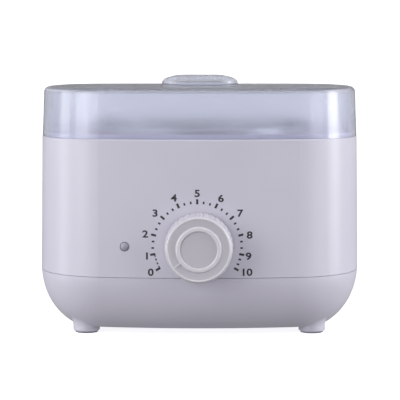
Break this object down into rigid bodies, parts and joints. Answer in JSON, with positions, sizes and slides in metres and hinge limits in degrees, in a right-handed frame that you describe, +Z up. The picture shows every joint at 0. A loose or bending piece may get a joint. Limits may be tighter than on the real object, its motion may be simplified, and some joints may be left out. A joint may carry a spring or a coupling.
{
  "type": "wax warmer pot",
  "caption": "Square electric wax warmer with round corners: translucent lid with a moulded grip, lift-out pot with a wire bail, fluted thermostat knob and indicator lamp on the front.",
  "frame": {"origin": "on the table, under the middle of the bounding box, knob included", "axes": "+Z up; -Y the front with the knob; +X to the right seen from the front"},
  "size_m": [0.19, 0.2046, 0.1462],
  "materials": {
    "housing_plastic": "satin moulded plastic",
    "lid_plastic": "translucent frosted moulded plastic",
    "foot_rubber": "matt",
    "knob_plastic": "satin moulded plastic",
    "dial_ink": "pad printed",
    "pot_aluminium": "spun, bright",
    "well_aluminium": "spun, satin",
    "bright_wire": "bright drawn wire",
    "zinc_steel": "zinc plated",
    "silicone": "matt red silicone",
    "mica": "mica sheet under steel foil",
    "glass_wool": "felted",
    "brass": "turned",
    "copper": "drawn, dull",
    "ceramic": "unglazed steatite",
    "phenolic": "moulded",
    "black_nylon": "moulded, fine spark finish",
    "lamp_epoxy": "diffused epoxy",
    "board_laminate": "solder masked laminate",
    "lead_brown": "silicone sleeved lead",
    "lead_blue": "silicone sleeved lead",
    "lead_earth": "green and yellow sleeved lead",
    "lead_white": "glass braid lead"
  },
  "bodies": {
    "housing": {"base_housing": "housing_plastic", "upper_housing": "housing_plastic", "foot_pads": "foot_rubber", "housing_screws": "zinc_steel", "heater_well": "well_aluminium", "well_gasket": "silicone", "well_studs": "zinc_steel", "well_nuts": "zinc_steel", "band_heater": "mica", "heater_tabs": "brass", "clamp_strap": "zinc_steel", "strap_screw": "zinc_steel", "strap_nut": "zinc_steel", "insulation_wrap": "glass_wool", "heat_shield": "zinc_steel", "shield_spacers": "brass", "shield_studs": "zinc_steel", "shield_nuts": "zinc_steel", "thermostat_plate": "zinc_steel", "thermostat_case": "zinc_steel", "thermostat_base": "ceramic", "thermostat_tabs": "brass", "thermostat_screws": "zinc_steel", "sensing_bulb": "copper", "bulb_clip": "zinc_steel", "thermal_fuse": "well_aluminium", "fuse_clip": "zinc_steel", "indicator_lamp": "lamp_epoxy", "lamp_holder": "black_nylon", "lamp_board": "board_laminate", "power_inlet": "black_nylon", "inlet_pins": "brass", "inlet_screws": "zinc_steel", "inlet_nuts": "zinc_steel", "terminal_block": "ceramic", "terminal_tubes": "brass", "terminal_screws": "zinc_steel", "block_screws": "zinc_steel", "earth_lug": "brass", "earth_screw": "zinc_steel", "capillary_tube": "copper", "lead_live_in": "lead_brown", "lead_neutral_in": "lead_blue", "lead_live_thermostat": "lead_brown", "lead_thermostat_fuse": "lead_white", "lead_fuse_heater": "lead_white", "lead_neutral_heater": "lead_blue", "lead_earth": "lead_earth", "lamp_lead_live": "lead_brown", "lamp_lead_neutral": "lead_blue"},
    "lid": {"lid": "lid_plastic"},
    "pot": {"pot": "pot_aluminium", "bail_ears": "zinc_steel", "ear_rivets": "pot_aluminium"},
    "bail": {"pot_bail": "bright_wire"},
    "knob": {"control_knob": "knob_plastic", "knob_insert": "zinc_steel", "thermostat_shaft": "zinc_steel"}
  },
  "joints": [
    {"name": "lid_lift", "type": "slide", "parent": "housing", "child": "lid", "axis": [0, 0, 1], "range_m": [0, 0.25]},
    {"name": "pot_lift", "type": "slide", "parent": "housing", "child": "pot", "axis": [0, 0, 1], "range_m": [0, 0.125]},
    {"name": "bail_swing", "type": "hinge", "parent": "pot", "child": "bail", "pos_m": [0, 0.00735, 0.1176], "axis": [1, 0, 0], "range_deg": [0, 92]},
    {"name": "knob_turn", "type": "hinge", "parent": "housing", "child": "knob", "pos_m": [0, -0.08765, 0.0525], "axis": [0, 1, 0], "range_deg": [0, 246]}
  ],
  "couplings": [
    {"joint": "pot_lift", "follows": "lid_lift", "ratio": 0.5},
    {"joint": "bail_swing", "follows": "lid_lift", "rad_per_m": 6.42}
  ]
}
